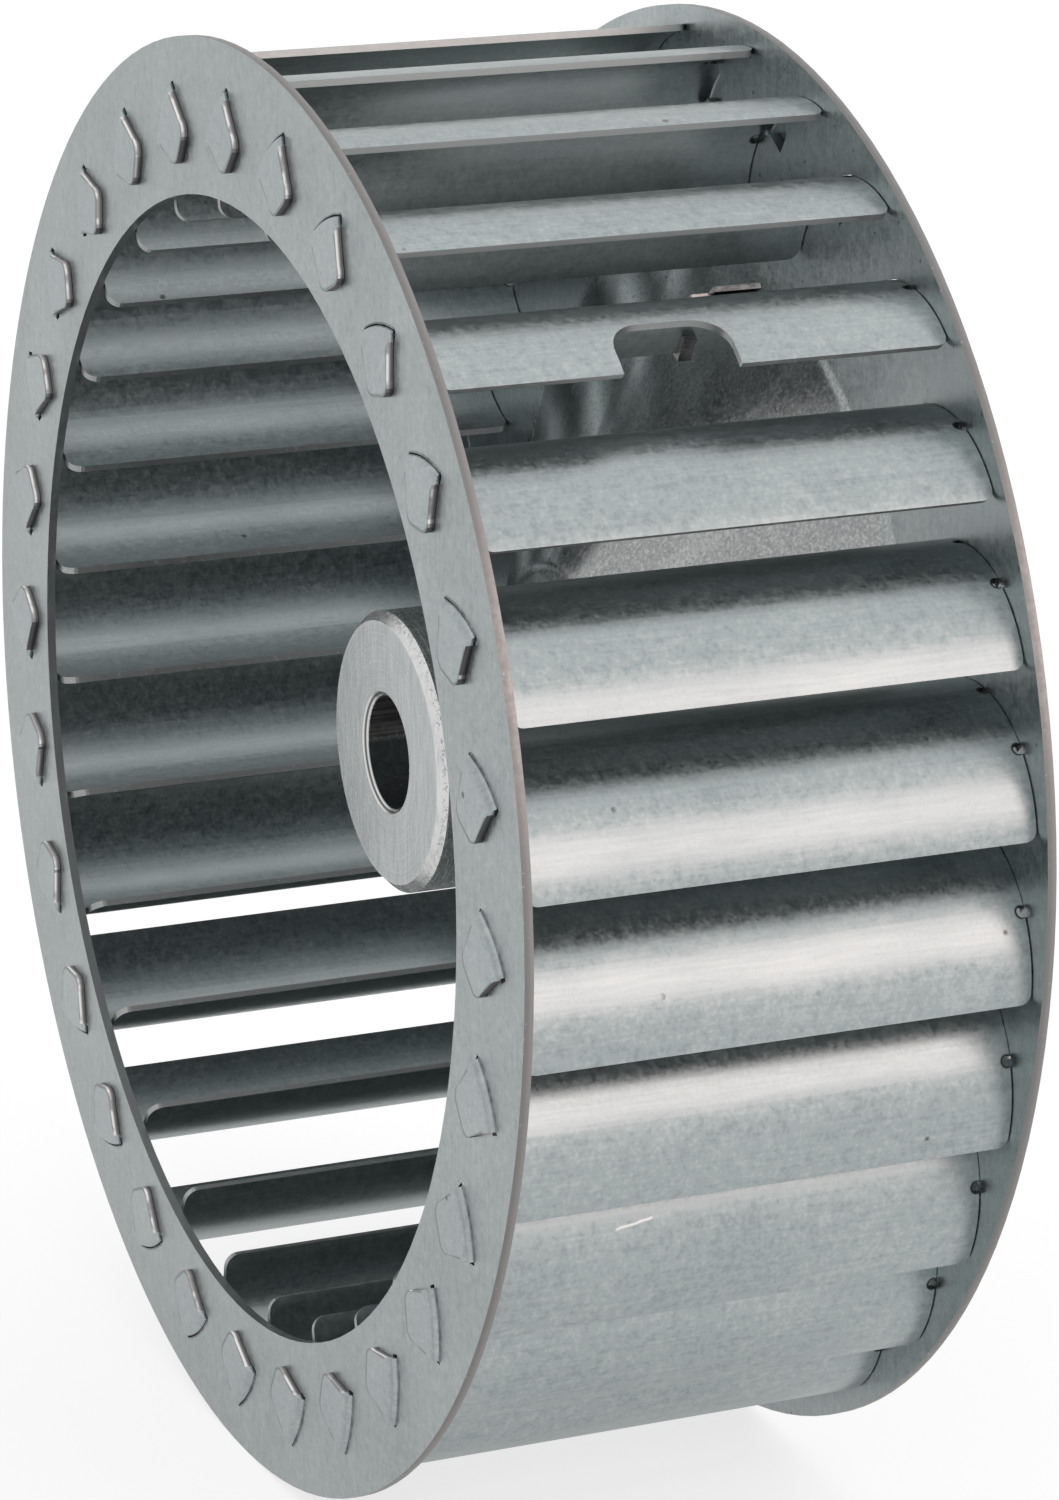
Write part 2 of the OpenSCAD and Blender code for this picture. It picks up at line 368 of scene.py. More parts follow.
@dataclass(frozen=True)
class Zinc:
    """Tones and roughness of a zinc surface."""

    body: Colour = (0.445, 0.490, 0.495)
    light: Colour = (0.530, 0.570, 0.570)
    dark: Colour = (0.365, 0.410, 0.418)
    rim: Colour = (0.250, 0.242, 0.238)
    burr: Colour = (0.345, 0.335, 0.330)
    edge: Colour = (0.400, 0.412, 0.408)
    # lighter tone of the blade tips: wear with a painted highlight
    tip: Colour = (0.640, 0.630, 0.620)
    # painted shade of the relief holes
    hole_shade: Colour = (0.035, 0.037, 0.038)
    rough: Span = (0.29, 0.41)


RING_ZINC = Zinc(body=(0.422, 0.458, 0.464), light=(0.500, 0.533, 0.536), dark=(0.345, 0.382, 0.390))
# Darker zinc for the slot lips: painted shade, standing for the dark line of the slot gap along each lip.
LIP_SHADE_ZINC = Zinc(body=(0.24, 0.255, 0.258), light=(0.36, 0.375, 0.378), dark=(0.15, 0.162, 0.165))


class GalvanisedSheet(Finish):
    """Galvanised sheet with rolled grain, soft zinc mottle and bare cut edges."""

    cloud_scale: float = 70
    mottle_scale: float = 900
    streak_scale: float = 2600
    fine_scale: float = 2100
    tear_scale: float = 1500
    tear_border: float = 0.12
    tone_shares: Shares = (0.18, 0.36, 0.16, 0.3)
    dark_span: Span = (0.40, 0.5)
    light_span: Span = (0.5, 0.60)
    rough_shares: Shares = (0.5, 0.5)
    rough_span: Span = (0.36, 0.64)
    height_shares: Shares = (0.5, 0.1, 0.4)
    surface_depth: float = 0.016 * MM
    edge_rough: float = 0.06
    burr_span: Span = (0.2 * MM, 0.9 * MM)
    burr_share: float = 0.8

    def __init__(self, name: str, grain: Grain, zinc: Zinc = Zinc()) -> None:
        """Prepares the tones that every sheet piece shares.

        Args:
            name: the material's name.
            grain: which way the sheet was rolled.
            zinc: its tones.
        """
        super().__init__(name)
        self.zinc = zinc
        cloud = self.noise(self.cloud_scale, detail=4.0)
        mottle = self.noise(self.mottle_scale, detail=5.0)
        streak = self.noise(self.streak_scale, grain.value, detail=2.0)
        fine = self.noise(self.fine_scale)
        tone = self.blend((cloud, mottle, streak, fine), self.tone_shares)
        low = self.mix(self.step(tone, *self.dark_span), zinc.dark, zinc.body)
        self.colour = self.mix(self.step(tone, *self.light_span), low, zinc.light)
        self.rough = self.step(self.blend((mottle, fine), self.rough_shares), *self.rough_span, *zinc.rough)
        self.height = self.blend((mottle, streak, fine), self.height_shares)
        self.rounding: Socket | None = None

    def marked(self, mask: Socket, tone: Colour) -> None:
        """Tints the sheet where the mask is 1."""
        self.colour = self.mix(mask, self.colour, tone)

    def cut_edges(self, mask: Socket, tone: Colour, bright: float = 0.78) -> None:
        """Bares the steel on cut edges, with the bright streaks that shearing leaves.

        Args:
            mask: 1 on the edge.
            tone: colour of the bare steel.
            bright: noise value above which a streak is bright.
        """
        tear = self.noise(self.tear_scale)
        bare = self.mix(self.step(tear, bright - self.tear_border, bright), tone, self.zinc.light)
        self.colour = self.mix(mask, self.colour, bare)
        self.rough = self.rough + mask * self.edge_rough

    def bare_rim(self, mask: Socket, front: float) -> None:
        """Bares the rim of a flat sheet, with a paler burr along its rear border.

        Args:
            mask: 1 on the rim.
            front: Y of the sheet's front face.
        """
        self.cut_edges(mask, self.zinc.rim)
        low, high = self.burr_span
        self.marked(mask & self.step(self.y, front + low, front + high, 0.0, self.burr_share), self.zinc.burr)

    def close(self) -> bpy.types.Material:
        """Ends the tree and returns the material."""
        self.metal(self.colour, self.rough, self.bump(self.height, self.surface_depth, self.rounding))
        return self.material


class RingFinish(GalvanisedSheet):
    """Front ring: upright grain, a few scratches, faint dark specks, a bare rim and a bare eye."""

    eye_tone: Colour = (0.33, 0.345, 0.345)
    eye_border: Span = (0.2 * MM, 0.4 * MM)
    speck_strength: float = 0.6

    def __init__(self, sizes: WheelSizes = SIZES) -> None:
        """Builds the material.

        Args:
            sizes: the wheel's sizes.
        """
        super().__init__("galvanised_ring", Grain.UPRIGHT, RING_ZINC)
        self.marked(self.scratches(turn=math.radians(28), scale=420, share=0.63), self.zinc.dark)
        self.marked(self.scratches(turn=math.radians(-12), scale=300, share=0.66), self.zinc.light)
        self.marked(self.specks(scale=260, inner=0.03, outer=0.07) * self.speck_strength, self.zinc.dark)
        wall = self.wall()
        self.bare_rim(wall, -sizes.half_w)
        eye = self.below(self.x.hypot(self.z) - sizes.eye_r, *self.eye_border)
        self.marked(wall & eye, self.eye_tone)


class DiscFinish(GalvanisedSheet):
    """Back disc: mottled zinc, specks, a bare rim, drawing marks round the cone, and painted reflections on
    the cone.
    """

    drawn_tone: Colour = (0.385, 0.398, 0.398)
    reflection_tone: Colour = (0.88, 0.895, 0.89)
    grit_light: Colour = (0.62, 0.63, 0.63)
    grit_dark: Colour = (0.25, 0.265, 0.27)
    speck_tone: Colour = (0.20, 0.215, 0.22)
    drawn_border: Span = (-3 * MM, 2 * MM)
    drawn_smooth: float = 0.13
    reflection_smooth: float = 0.07
    to_inlet: Span = (-0.4, -0.2)
    grit_scale: float = 2500
    grit_light_span: Span = (0.52, 0.64)
    grit_light_share: float = 0.55
    grit_dark_span: Span = (0.36, 0.48)
    grit_dark_share: float = 0.6
    speck_patches: float = 90
    speck_span: Span = (0.48, 0.52)
    rim_border: Span = (1 * MM, 2 * MM)
    reflection_stretch: Direction = (13, 13, 9)
    reflection_span: Span = (0.50, 0.62)
    reflection_share: float = 0.14
    reflection_gap_share: float = 0.35

    def __init__(self, sizes: WheelSizes = SIZES) -> None:
        """Builds the material.

        Args:
            sizes: the wheel's sizes.
        """
        super().__init__("galvanised_disc", Grain.UPRIGHT)
        radius = self.x.hypot(self.z)
        drawn = self.below(radius - sizes.cone_base_r, *self.drawn_border)
        self.marked(drawn, self.drawn_tone)
        faint_reflections, bright_reflection = self.painted_reflections(radius)
        bright_reflection = bright_reflection & self.below(self.facing[1], *self.to_inlet)
        # Painted reflections: bright streaks on the cone, most on the faces that turn to the inlet.
        self.marked(drawn & (bright_reflection | faint_reflections), self.reflection_tone)
        grit = self.noise(self.grit_scale)
        light = self.step(grit, *self.grit_light_span, 0.0, self.grit_light_share)
        dark = self.step(grit, *self.grit_dark_span, self.grit_dark_share, 0.0)
        self.marked(drawn & light, self.grit_light)
        self.marked(drawn & dark, self.grit_dark)
        self.rough = self.rough - drawn * self.drawn_smooth - bright_reflection * self.reflection_smooth
        patches = self.step(self.noise(self.speck_patches), *self.speck_span)
        self.marked(self.specks(scale=330, inner=0.05, outer=0.10) & patches, self.speck_tone)
        self.marked(self.scratches(turn=math.radians(8), scale=380, share=0.6), self.zinc.light)
        rim = self.wall() & self.below(sizes.rim_r - radius, *self.rim_border)
        self.bare_rim(rim, sizes.half_w - sizes.flat_sheet)

    def painted_reflections(self, radius: Socket) -> tuple[Socket, Socket]:
        """Painted reflections along the cone: bright streaks where its flank mirrors the openings between the
        blades.

        Args:
            radius: distance from the axis.

        Returns:
            A mask of faint streaks all round, and one of the widest streak, which a darker gap divides.
        """
        turn = self.z.math("ARCTAN2", self.x)
        round_axis = self.join(turn.math("COSINE"), turn.math("SINE"), radius)
        streak_noise = self.noise(1.0, self.reflection_stretch, detail=1.0, vector=round_axis)
        faint_reflections = self.step(streak_noise, *self.reflection_span, 0.0, self.reflection_share)
        reflection_gap = self.sector(turn, middle=99, outer=2.6, inner=0.8, start=1.0, end=self.reflection_gap_share)
        return faint_reflections, self.sector(turn, middle=103, outer=13, inner=4) * reflection_gap

    def sector(self, turn: Socket, middle: float, outer: float, inner: float,
               start: float = 0.0, end: float = 1.0) -> Socket:
        """Goes smoothly from a sector's border to its middle part.

        Args:
            turn: angle round the axis, in radians.
            middle: angle of the sector's middle, in degrees.
            outer: degrees from there to the border.
            inner: degrees from there to where the value no longer changes.
            start: value at and beyond the border.
            end: value in the middle part.

        Returns:
            The value.
        """
        near = (turn - math.radians(middle)).math("COSINE")
        return self.step(near, math.cos(math.radians(outer)), math.cos(math.radians(inner)), start, end)


class BladeFinish(GalvanisedSheet):
    """Blades. Their edges are found from the place along and across the blade's own curve."""

    border_shade: Colour = (0.20, 0.21, 0.213)
    spot_tone: Colour = (0.16, 0.16, 0.165)
    nick_tone: Colour = (0.86, 0.85, 0.84)
    flap_shade: Colour = (0.085, 0.085, 0.088)
    flap_lit: Colour = (0.27, 0.26, 0.258)
    flap_glint: Colour = (0.92, 0.91, 0.90)
    edge_bright: float = 0.72
    skin: Span = (0.02 * MM, 0.05 * MM)
    shoulder: Span = (-0.2 * MM, 0.0)
    tip_span: Span = (0.0, 0.03)
    tip_share: float = 0.8
    fold: Span = (0.3 * MM, 0.5 * MM)
    border_shade_share: float = 0.75
    border_in: Span = (0.22 * MM, 0.45 * MM)
    border_face: Span = (0.7 * MM, 0.78 * MM)
    border_end: Span = (12.0 * MM, 12.6 * MM)
    spot_patches: float = 45
    spot_span: Span = (0.52, 0.56)
    relief_beside: float = 0.48 * MM
    relief_inwards: float = 1.45 * MM
    relief_r: Span = (0.60 * MM, 0.85 * MM)
    rounding_span: Span = (0.25 * MM, 0.85 * MM)
    rounding_depth: float = 0.30 * MM
    flap_top: Span = (0.35 * MM, 0.6 * MM)
    flap_patches: float = 380
    flap_span: Span = (0.42, 0.56)
    flap_dull: float = 0.25
    flap_facing: Span = (-0.5, 0.0)
    flap_smooth: float = 0.06
    nick_y: float = -11.4 * MM
    nick_z: float = -32.12 * MM
    nick_slope: float = 0.16
    nick_scale: float = 900
    nick_waver: float = 0.3 * MM
    nick_w: Span = (0.04 * MM, 0.22 * MM)
    nick_reach: Span = (1.9 * MM, 2.2 * MM)
    nick_from: Span = (60 * MM, 61 * MM)

    def __init__(self, sizes: WheelSizes = SIZES) -> None:
        """Builds the material.

        Args:
            sizes: the wheel's sizes.
        """
        super().__init__("galvanised_blade", Grain.AXIAL)
        self.sizes = sizes
        self.middle = (sizes.tab_start + sizes.tab_end) / 2
        self.over = abs(self.y) - sizes.half_w
        self.radius, self.place = self.on_curve()
        inside = self.step(self.radius - sizes.curve_r, *self.skin)
        outside = self.step(sizes.curve_r + sizes.sheet - self.radius, *self.skin)
        body = self.below(self.over, *self.shoulder)
        edge = inside & outside & body
        self.cut_edges(edge, self.zinc.edge, self.edge_bright)
        # Painted highlight with wear: the blades' tip edges are painted lighter than the other cut edges.
        tip = self.below(self.place, *self.tip_span)
        self.marked(tip * self.tip_share & edge, self.zinc.tip)
        # Painted shade: the relief holes and a thin rim round them are painted near black.
        self.marked(self.relief(), self.zinc.hole_shade)
        past_fold = self.step(sizes.curve_r - self.radius, *self.fold)
        self.flap_edges(self.wall() & past_fold & (1.0 - body))
        # Painted shade with wear: a dark line along the border of each folded tab.
        self.marked(self.flap_border_shade() * self.border_shade_share, self.border_shade)
        patches = self.step(self.noise(self.spot_patches), *self.spot_span)
        self.marked(self.specks(scale=150, inner=0.03, outer=0.07) & patches, self.spot_tone)
        self.rounding = self.bump(self.below(self.over, *self.rounding_span), self.rounding_depth)
        self.marked(self.nick(), self.nick_tone)

    def relief(self) -> Socket:
        """Mask of the relief holes beside the tabs and a thin rim round them, where the holes' shade is
        painted dark.

        Returns:
            1 in the holes and on a thin rim round them.
        """
        mid_r = self.sizes.curve_r + self.sizes.sheet / 2
        half_tab = (self.sizes.tab_end - self.sizes.tab_start) / 2 * mid_r
        along = abs(self.place - self.middle) * mid_r - (half_tab + self.relief_beside)
        inwards = self.over + self.relief_inwards
        return self.below(along.hypot(inwards), *self.relief_r)

    def flap_edges(self, mask: Socket) -> None:
        """Sheared edges of the folded tabs, with light and shade painted on: dark below and at the root as
        painted shade, lighter where they face up, with a painted glint on the outer side.

        Args:
            mask: 1 on those edges.
        """
        top = self.step(self.over, *self.flap_top)
        bright = self.step(self.noise(self.flap_patches, detail=2.0), *self.flap_span, self.flap_dull)
        up = self.step(self.facing[2], *self.flap_facing)
        # Painted shade on the walls that face down, a painted lighter tone on those that face up.
        self.marked(mask, self.mix(up, self.flap_shade, self.flap_lit))
        # Painted glints along the outer side of the walls that face up.
        self.marked(mask & (top * bright * up), self.flap_glint)
        self.rough = self.rough - (mask & top) * self.flap_smooth

    def flap_border_shade(self) -> Socket:
        """Mask of a thin line along the border of a folded tab's outer face, at its free end and its sides,
        where its contact shade and edge wear are painted dark.

        Returns:
            1 along the border of the outer face.
        """
        s = self.sizes
        turn = self.place - self.middle
        out = self.radius * turn.math("COSINE")
        side = abs(self.radius * turn.math("SINE"))
        half = (out - s.flap_end) * s.flap_taper + s.flap_end_w / 2
        beyond = (side - half + s.flap_corner) | 0.0
        past = (s.flap_end + s.flap_corner - out) | 0.0
        border = self.below(s.flap_corner - beyond.hypot(past), *self.border_in)
        face = self.step(self.over, *self.border_face)
        return border & face & self.below(out, *self.border_end)

    def nick(self) -> Socket:
        """Mask of the bright scratch on one of the lower blades.

        Returns:
            1 in the scratch.
        """
        along = self.y - self.nick_y
        waver = (self.noise(self.nick_scale) - NOISE_MIDDLE) * self.nick_waver
        line = self.below(abs(self.z - self.nick_z - along * self.nick_slope - waver), *self.nick_w)
        return line & self.below(abs(along), *self.nick_reach) & self.step(self.x, *self.nick_from)

    def on_curve(self) -> tuple[Socket, Socket]:
        """Place of a point on its blade's curve, whichever blade it is.

        Returns:
            Distance from the centre of the curve, and angle along the curve from the tip.
        """
        s = self.sizes
        ahead = math.radians(0.3)               # how far a blade's share starts ahead of its tip
        lean = math.radians(3) / (19 * MM)      # turns the inner edge back, so that blades share no angle
        lean_r = s.rim_r - 2 * MM               # radius at which that turn starts
        radius = self.x.hypot(self.z)
        lag = (lean_r - radius) * lean
        turn = self.z.math("ARCTAN2", self.x) - s.first_blade + ahead - lag
        local = turn % s.pitch - ahead + lag
        across = radius * local.math("SINE")
        out = radius * local.math("COSINE") - s.curve_rho
        return across.hypot(out), across.math("ARCTAN2", out)


class TurnedHub(Finish):
    """Turned hub with bright zinc plating, tool rings, a smoother bore, and painted highlights on its front
    lip and countersink.
    """

    zinc_dark: Colour = (0.47, 0.505, 0.515)
    zinc_light: Colour = (0.66, 0.68, 0.68)
    lip_highlight: Colour = (0.84, 0.84, 0.83)
    crack_tone: Colour = (0.20, 0.22, 0.22)
    sink_highlight: Colour = (0.80, 0.80, 0.78)
    groove_tone: Colour = (0.16, 0.165, 0.165)
    shaving_tone: Colour = (0.90, 0.90, 0.88)
    bore_dark: Colour = (0.30, 0.29, 0.28)
    bore_light: Colour = (0.62, 0.60, 0.58)
    bore_shade: Colour = (0.20, 0.23, 0.24)
    bore_line: Colour = (0.75, 0.76, 0.76)
    surface_depth: float = 0.010 * MM
    speck_scale: float = 2300
    upright_scale: float = 1900
    upright_stretch: Direction = (1, 1, 0.12)
    ring_scale: float = 2600
    tone_shares: Shares = (0.3, 0.3, 0.4)
    tone_span: Span = (0.38, 0.62)
    height_shares: Shares = (0.5, 0.25, 0.25)
    crack_depth: float = 0.4
    drawn_depth: float = 0.1
    rough: Span = (0.24, 0.36)
    rough_span: Span = (0.3, 0.7)
    bore_rough: float = 0.08
    front_depth: Span = (1.15 * MM, 1.4 * MM)
    lip_w: Span = (0.95 * MM, 1.15 * MM)
    crack_w: Span = (0.45 * MM, 0.6 * MM)
    crack_scale: float = 800
    crack_stretch: Direction = (1, 2, 1)
    crack_line: float = 0.016
    shine_span: Span = (0.3, 0.6)
    shine: Span = (0.55, 0.95)
    sink_w: Span = (0.55 * MM, 0.62 * MM)
    groove_at: float = 0.3 * MM
    groove_w: Span = (0.05 * MM, 0.13 * MM)
    skin: Span = (0.02 * MM, 0.1 * MM)
    shaving_scale: float = 1300
    shaving_stretch: Direction = (0.25, 3, 0.25)
    shaving_span: Span = (0.56, 0.62)
    drawn_scale: float = 2400
    drawn_stretch: Direction = (1, 0.04, 1)
    bore_span: Span = (0.35, 0.65)
    bore_middle: Span = (-0.8 * MM, 0.4 * MM)
    wave: float = 1.2 * MM
    line_z: float = -0.2 * MM
    line_w: Span = (0.1 * MM, 0.3 * MM)
    line_share: float = 0.6

    def __init__(self, sizes: WheelSizes = SIZES) -> None:
        """Builds the material.

        Args:
            sizes: the wheel's sizes.
        """
        super().__init__("plated_hub")
        self.sizes = sizes
        self.radius = self.x.hypot(self.z)
        self.speck = self.noise(self.speck_scale)
        self.upright = self.noise(self.upright_scale, self.upright_stretch)
        rings = self.noise(self.ring_scale, vector=self.join(self.radius + self.y, 0.0, 0.0))
        grain = (rings, self.speck, self.upright)
        tone = self.step(self.blend(grain, self.tone_shares), *self.tone_span)
        self.colour = self.mix(tone, self.zinc_dark, self.zinc_light)
        cracks = self.collar()
        bore, drawn = self.bore()
        rough = self.step(self.speck, *self.rough_span, *self.rough) + bore * self.bore_rough
        turned = self.blend(grain, self.height_shares) - cracks * self.crack_depth
        height = turned * (1.0 - bore) + drawn * bore * self.drawn_depth
        self.metal(self.colour, rough, self.bump(height, self.surface_depth))

    def collar(self) -> Socket:
        """Paints highlights on the lip and the countersink, and tints the countersink's groove and the
        shavings on the side.

        Returns:
            A mask of the fine cracks in the lip.
        """
        s = self.sizes
        inwards = s.hub_r - self.radius
        front = self.below(self.y - s.hub_front, *self.front_depth)
        lip = self.below(inwards, *self.lip_w) & front
        web = self.noise(self.crack_scale, self.crack_stretch, detail=4.0)
        crack = self.below(abs(web - NOISE_MIDDLE), 0.0, self.crack_line)
        outer = self.below(inwards, *self.crack_w)
        shine = self.step(self.upright, *self.shine_span, *self.shine)
        # Painted highlight on the front lip.
        self.colour = self.mix(lip * shine, self.colour, self.lip_highlight)
        self.colour = self.mix(outer & crack, self.colour, self.crack_tone)
        outwards = self.radius - s.bore_r
        sink = self.below(outwards, *self.sink_w) & front
        groove = self.below(abs(outwards - self.groove_at), *self.groove_w)
        # Painted highlight on the countersink, with its dark groove.
        self.colour = self.mix(sink, self.colour, self.mix(groove, self.sink_highlight, self.groove_tone))
        side = self.below(inwards, *self.skin)
        shaving = self.step(self.noise(self.shaving_scale, self.shaving_stretch), *self.shaving_span)
        self.colour = self.mix(side & shaving, self.colour, self.shaving_tone)
        return crack * lip

    def bore(self) -> tuple[Socket, Socket]:
        """Tints the bore: lighter above, with a wavy line at mid height.

        Returns:
            A mask of the bore, and its drawing marks.
        """
        bore = self.below(self.radius - self.sizes.bore_r, *self.skin)
        drawn = self.noise(self.drawn_scale, self.drawn_stretch, detail=2.0)
        wall = self.mix(self.step(drawn, *self.bore_span), self.bore_dark, self.bore_light)
        wall = self.mix(self.step(self.z, *self.bore_middle), self.bore_shade, wall)
        wave = (self.speck - NOISE_MIDDLE) * self.wave
        line = self.below(abs(self.z - self.line_z - wave), *self.line_w)
        self.colour = self.mix(bore, self.colour, self.mix(line * self.line_share, wall, self.bore_line))
        return bore, drawn


class BlackScrew(Finish):
    """Set screw in black oxide with an oily sheen."""

    oxide_dark: Colour = (0.030, 0.031, 0.034)
    oxide_light: Colour = (0.095, 0.094, 0.095)
    patch_scale: float = 1800
    tone_span: Span = (0.35, 0.7)
    rough_span: Span = (0.3, 0.7)
    rough: Span = (0.30, 0.48)
    surface_depth: float = 0.004 * MM

    def __init__(self) -> None:
        """Builds the material."""
        super().__init__("black_screw")
        patch = self.noise(self.patch_scale)
        colour = self.mix(self.step(patch, *self.tone_span), self.oxide_dark, self.oxide_light)
        rough = self.step(patch, *self.rough_span, *self.rough)
        self.metal(colour, rough, self.bump(patch, self.surface_depth))


class SpringSteel(Finish):
    """Plain spring steel of the clip, with blued patches."""

    blued: Colour = (0.14, 0.136, 0.138)
    bare: Colour = (0.36, 0.345, 0.34)
    patch_scale: float = 900
    fine_scale: float = 4200
    fine_stretch: Direction = (1, 0.1, 1)
    tone_shares: Shares = (0.6, 0.4)
    tone_span: Span = (0.35, 0.65)
    rough_span: Span = (0.3, 0.7)
    rough: Span = (0.20, 0.34)
    surface_depth: float = 0.005 * MM

    def __init__(self) -> None:
        """Builds the material."""
        super().__init__("spring_clip")
        patch = self.noise(self.patch_scale, detail=4.0)
        fine = self.noise(self.fine_scale, self.fine_stretch, detail=2.0)
        tone = self.step(self.blend((patch, fine), self.tone_shares), *self.tone_span)
        rough = self.step(fine, *self.rough_span, *self.rough)
        self.metal(self.mix(tone, self.blued, self.bare), rough, self.bump(fine, self.surface_depth))


class Recipe(Tree):
    """A Geometry Nodes tree with named inputs, run once to give a plain mesh."""

    def __init__(self, name: str) -> None:
        """Starts an empty tree.

        Args:
            name: the tree's name.
        """
        super().__init__(bpy.data.node_groups.new(name, "GeometryNodeTree"))
        self.tree.interface.new_socket("Geometry", in_out="OUTPUT", socket_type="NodeSocketGeometry")
        self.values: dict[str, Any] = {}
        self.entry = self.tree.nodes.new("NodeGroupInput")

    def size(self, name: str, value: Any, kind: str = "NodeSocketFloat") -> Socket:
        """Adds a named input with its value.

        Args:
            name: the input's name.
            value: its value.
            kind: its socket type.

        Returns:
            The input.
        """
        made = self.tree.interface.new_socket(name, in_out="INPUT", socket_type=kind)
        self.values[made.identifier] = value
        return Socket(self, next(s for s in self.entry.outputs if s.identifier == made.identifier))

    def moved(self, shape: Socket, x: Socket | float, y: Socket | float, z: Socket | float) -> Socket:
        """A shape moved by X, Y and Z."""
        return self.node("GeometryNodeTransform",
                         inputs={"Geometry": shape, "Translation": self.join(x, y, z)})

    def swept(self, path: Socket, radius: Socket, sides: int) -> Socket:
        """A closed bar along a path.

        Args:
            path: the curve.
            radius: radius of the bar.
            sides: number of its sides.

        Returns:
            The bar, with its ends filled.
        """
        section = self.node("GeometryNodeCurvePrimitiveCircle", {"mode": "RADIUS"},
                            {"Resolution": sides, "Radius": radius})
        return self.node("GeometryNodeCurveToMesh",
                         inputs={"Curve": path, "Profile Curve": section, "Fill Caps": True})

    def make(self, shape: Socket, name: str, material: bpy.types.Material) -> bpy.types.Object:
        """Realises a shape with its material and returns it as a plain mesh object.

        Args:
            shape: the geometry.
            name: the piece's name.
            material: its finish.

        Returns:
            The new object, at the origin, with its place in its mesh.
        """
        surface = self.size("Finish", material, "NodeSocketMaterial")
        real = self.node("GeometryNodeRealizeInstances", inputs={"Geometry": shape})
        smooth = self.node("GeometryNodeSetShadeSmooth", inputs={"Geometry": real})
        dressed = self.node("GeometryNodeSetMaterial", inputs={"Geometry": smooth, "Material": surface})
        self.node("NodeGroupOutput", inputs={0: dressed})
        carrier = bpy.data.objects.new(name + "_recipe", bpy.data.meshes.new(name + "_recipe"))
        bpy.context.scene.collection.objects.link(carrier)
        modifier = carrier.modifiers.new("recipe", "NODES")
        modifier.node_group = self.tree
        for identifier, value in self.values.items():
            modifier[identifier] = value
        evaluated = carrier.evaluated_get(bpy.context.evaluated_depsgraph_get())
        mesh = bpy.data.meshes.new_from_object(evaluated)
        mesh.name = name
        bpy.data.objects.remove(carrier)
        piece = bpy.data.objects.new(name, mesh)
        bpy.context.scene.collection.objects.link(piece)
        return piece


@dataclass
class SlotLips:
    """The fine lip that the folded tabs press up along the outer wall of every slot of a disc."""

    name: str
    face_y: float
    sizes: WheelSizes = SIZES
    lip_r: float = 0.10 * MM
    lip_out: float = 0.6
    steps: int = 20
    sides: int = 8

    def build(self, material: bpy.types.Material) -> bpy.types.Object:
        """Makes the lips of one disc, all in one piece.

        Args:
            material: their finish.

        Returns:
            The piece.
        """
        s = self.sizes
        recipe = Recipe(self.name)
        count = recipe.size("Slots", s.blades, "NodeSocketInt")
        first = recipe.size("First slot", s.first_blade - math.pi / 2)
        pitch = recipe.size("Pitch", s.pitch)
        rho = recipe.size("Curve centre", s.curve_rho)
        arc_r = recipe.size("Slot wall", s.curve_r + s.sheet + s.slot_gap)
        start = recipe.size("Start", s.tab_start)
        turn = recipe.size("Turn", s.tab_end - s.tab_start)
        lip_r = recipe.size("Lip radius", self.lip_r)
        face = recipe.size("Face", -self.face_y)
        arc = recipe.node("GeometryNodeCurveArc", {"mode": "RADIUS"}, {
            "Resolution": self.steps, "Radius": arc_r + lip_r * self.lip_out,
            "Start Angle": start + math.pi / 2, "Sweep Angle": turn})
        placed = recipe.moved(recipe.swept(arc, lip_r, self.sides), 0.0, rho, face)
        spots = recipe.node("GeometryNodePoints", inputs={"Count": count})
        index = recipe.node("GeometryNodeInputIndex")
        spin = recipe.join(0.0, 0.0, first - index * pitch)
        row = recipe.node("GeometryNodeInstanceOnPoints",
                          inputs={"Points": spots, "Instance": placed, "Rotation": spin})
        stood = recipe.node("GeometryNodeTransform",
                            inputs={"Geometry": row, "Rotation": (math.pi / 2, 0, 0)})
        return recipe.make(stood, self.name, material)


